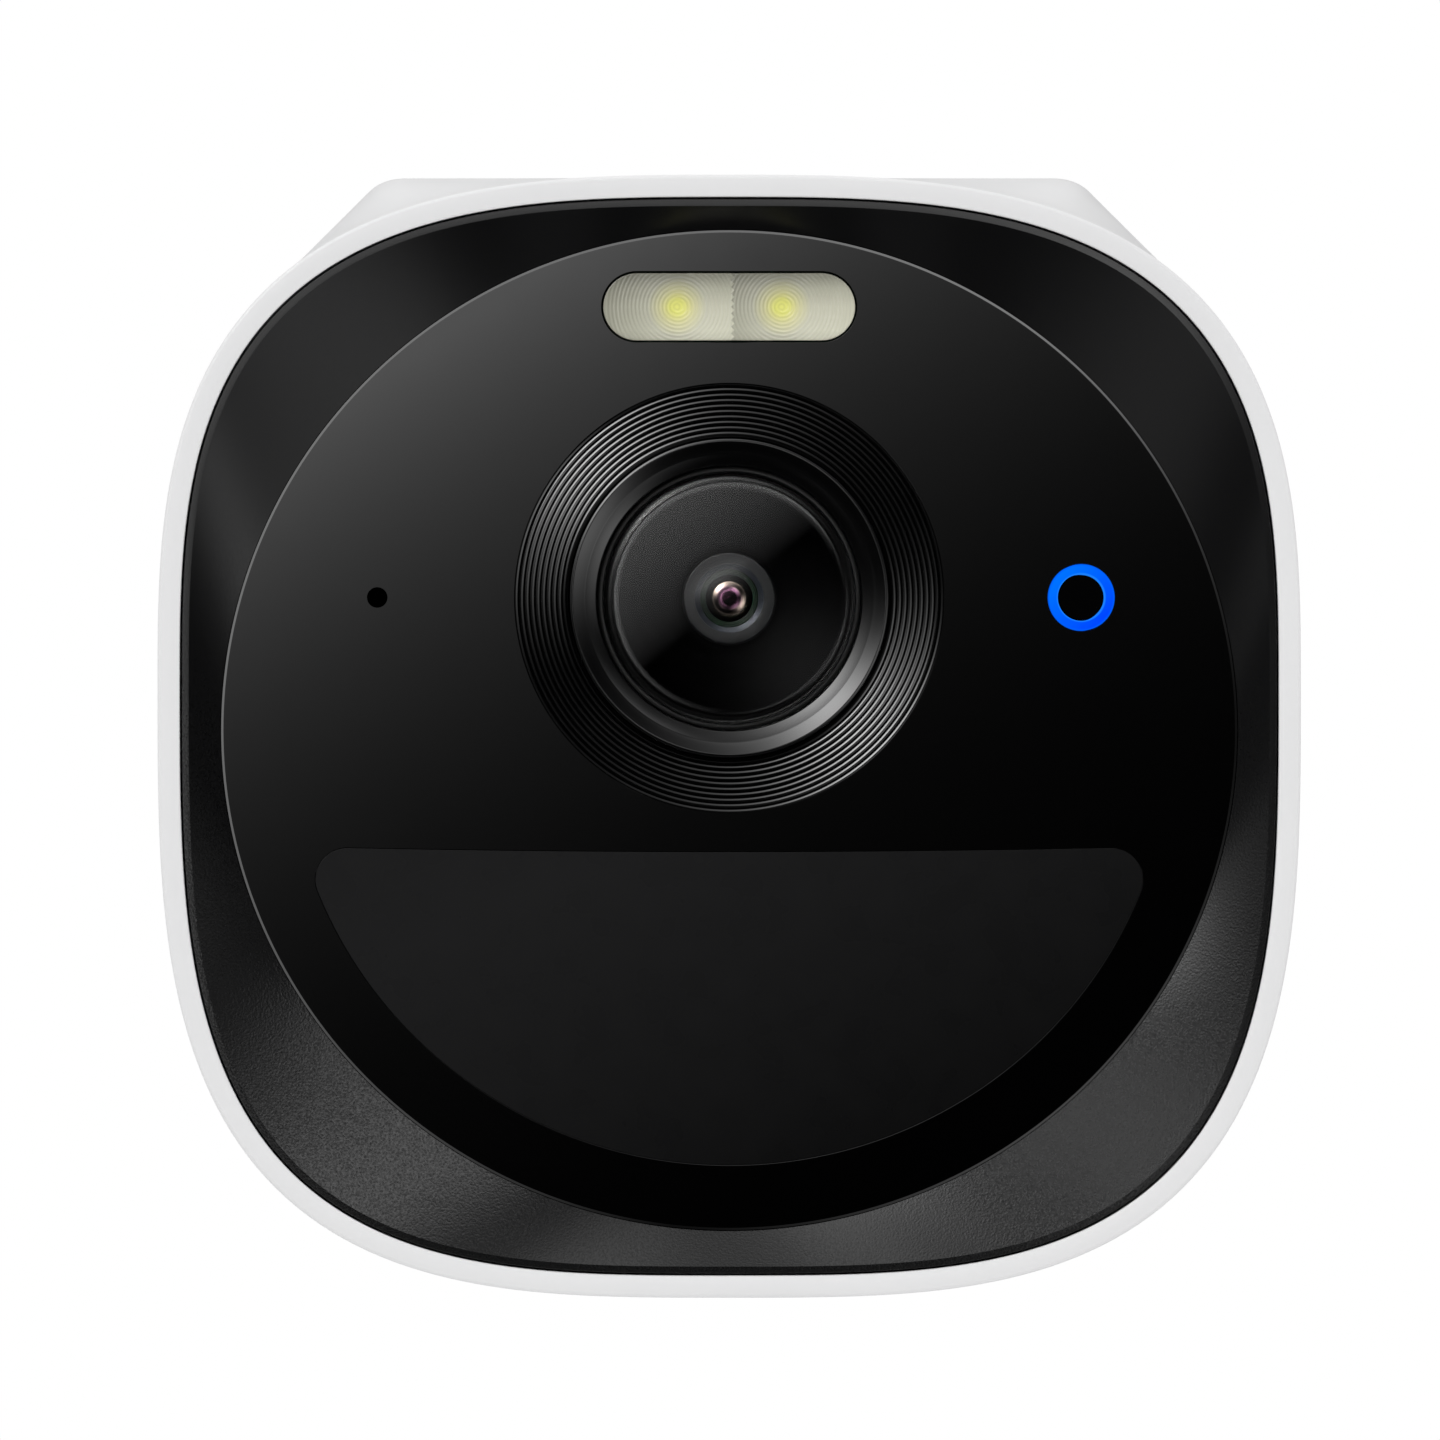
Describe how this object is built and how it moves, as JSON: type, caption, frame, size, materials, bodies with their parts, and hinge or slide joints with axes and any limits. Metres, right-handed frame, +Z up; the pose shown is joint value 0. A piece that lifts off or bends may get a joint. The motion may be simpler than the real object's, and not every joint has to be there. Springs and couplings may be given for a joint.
{
  "type": "security camera",
  "caption": "Rounded battery security camera with a domed lens, a spotlight, a motion window, a solar panel in its flat top and a tripod thread in its back.",
  "frame": {"origin": "centre of the tripod thread's mouth, in the middle of the rear mounting face", "axes": "+Z up, -Y the way the camera looks, +Y out of the rear face, +X to the right of someone who faces the camera's front"},
  "size_m": [0.062, 0.118, 0.0608],
  "materials": {
    "white_shell": "satin with a fine grain",
    "white_rubber": "matt silicone",
    "black_satin": "satin with a fine spark-eroded grain",
    "black_gloss": "polished",
    "black_rubber": "matt",
    "clear_glass": "clear with a green and pink coating",
    "dark_window": "dark tinted, satin",
    "spot_lens": "clear with fine moulded rings",
    "led_yellow": "phosphor",
    "status_blue": "lit from behind",
    "board_green": "solder mask on glass laminate",
    "steel": "nickel plated",
    "brass": "turned",
    "cell_wrap": "shrink wrap",
    "inner_plastic": "moulded",
    "solar_cells": "dark cells under a clear sheet",
    "chip_black": "moulded package",
    "flex_amber": "polyimide film",
    "filter_glass": "coated"
  },
  "bodies": {
    "camera_body": {"housing": "white_shell", "rear_cover": "white_shell", "rear_seal": "black_rubber", "front_bezel": "black_satin", "front_seal": "black_rubber", "face_disc": "black_gloss", "groove_ring": "black_gloss", "lens_trim_ring": "black_gloss", "cover_glass": "clear_glass", "glass_gasket": "black_rubber", "lens_baffle": "black_satin", "lens_barrel": "inner_plastic", "front_element": "clear_glass", "lens_holder": "inner_plastic", "ir_cut_housing": "inner_plastic", "image_sensor": "chip_black", "camera_board": "board_green", "camera_flex": "flex_amber", "spotlight_lens": "spot_lens", "spotlight_board": "board_green", "spotlight_led_left": "led_yellow", "spotlight_led_right": "led_yellow", "status_light_ring": "status_blue", "status_light_core": "black_gloss", "status_led": "led_yellow", "microphone": "steel", "mic_boot": "black_rubber", "motion_window": "dark_window", "motion_sensor_left": "steel", "motion_sensor_right": "steel", "front_board": "board_green", "ir_led_left": "chip_black", "ir_led_right": "chip_black", "chassis": "inner_plastic", "main_board": "board_green", "shield_can": "steel", "antenna": "board_green", "battery_cell_1": "cell_wrap", "battery_cell_2": "cell_wrap", "battery_cell_3": "cell_wrap", "battery_cell_4": "cell_wrap", "battery_cradle": "inner_plastic", "contact_plate_front": "steel", "contact_plate_rear": "steel", "solar_panel": "solar_cells", "speaker_basket": "inner_plastic", "speaker_mesh": "black_rubber", "usb_port": "steel", "rear_board": "board_green", "button_switch": "chip_black", "mount_insert": "brass", "rear_screw_1": "steel", "rear_screw_2": "steel", "rear_screw_3": "steel", "rear_screw_4": "steel"},
    "port_flap": {"port_cover": "white_rubber"},
    "sync_key": {"sync_button": "white_rubber"},
    "ir_shutter": {"ir_cut_frame": "inner_plastic", "ir_cut_filter": "filter_glass"},
    "speaker_diaphragm": {"speaker_cone": "black_satin"}
  },
  "joints": [
    {"name": "port_cover_hinge", "type": "hinge", "parent": "camera_body", "child": "port_flap", "pos_m": [-0.0085, -0.0008, -0.015], "axis": [0, 0, 1], "range_deg": [0, 110]},
    {"name": "sync_button_press", "type": "slide", "parent": "camera_body", "child": "sync_key", "axis": [0, -1, 0], "range_m": [0, 0.0005], "stiffness_N_per_m": 800},
    {"name": "ir_cut_slide", "type": "slide", "parent": "camera_body", "child": "ir_shutter", "axis": [-1, 0, 0], "range_m": [0, 0.0056]},
    {"name": "speaker_cone_travel", "type": "slide", "parent": "camera_body", "child": "speaker_diaphragm", "axis": [0, 0, 1], "range_m": [-0.0003, 0.0003], "stiffness_N_per_m": 600}
  ]
}
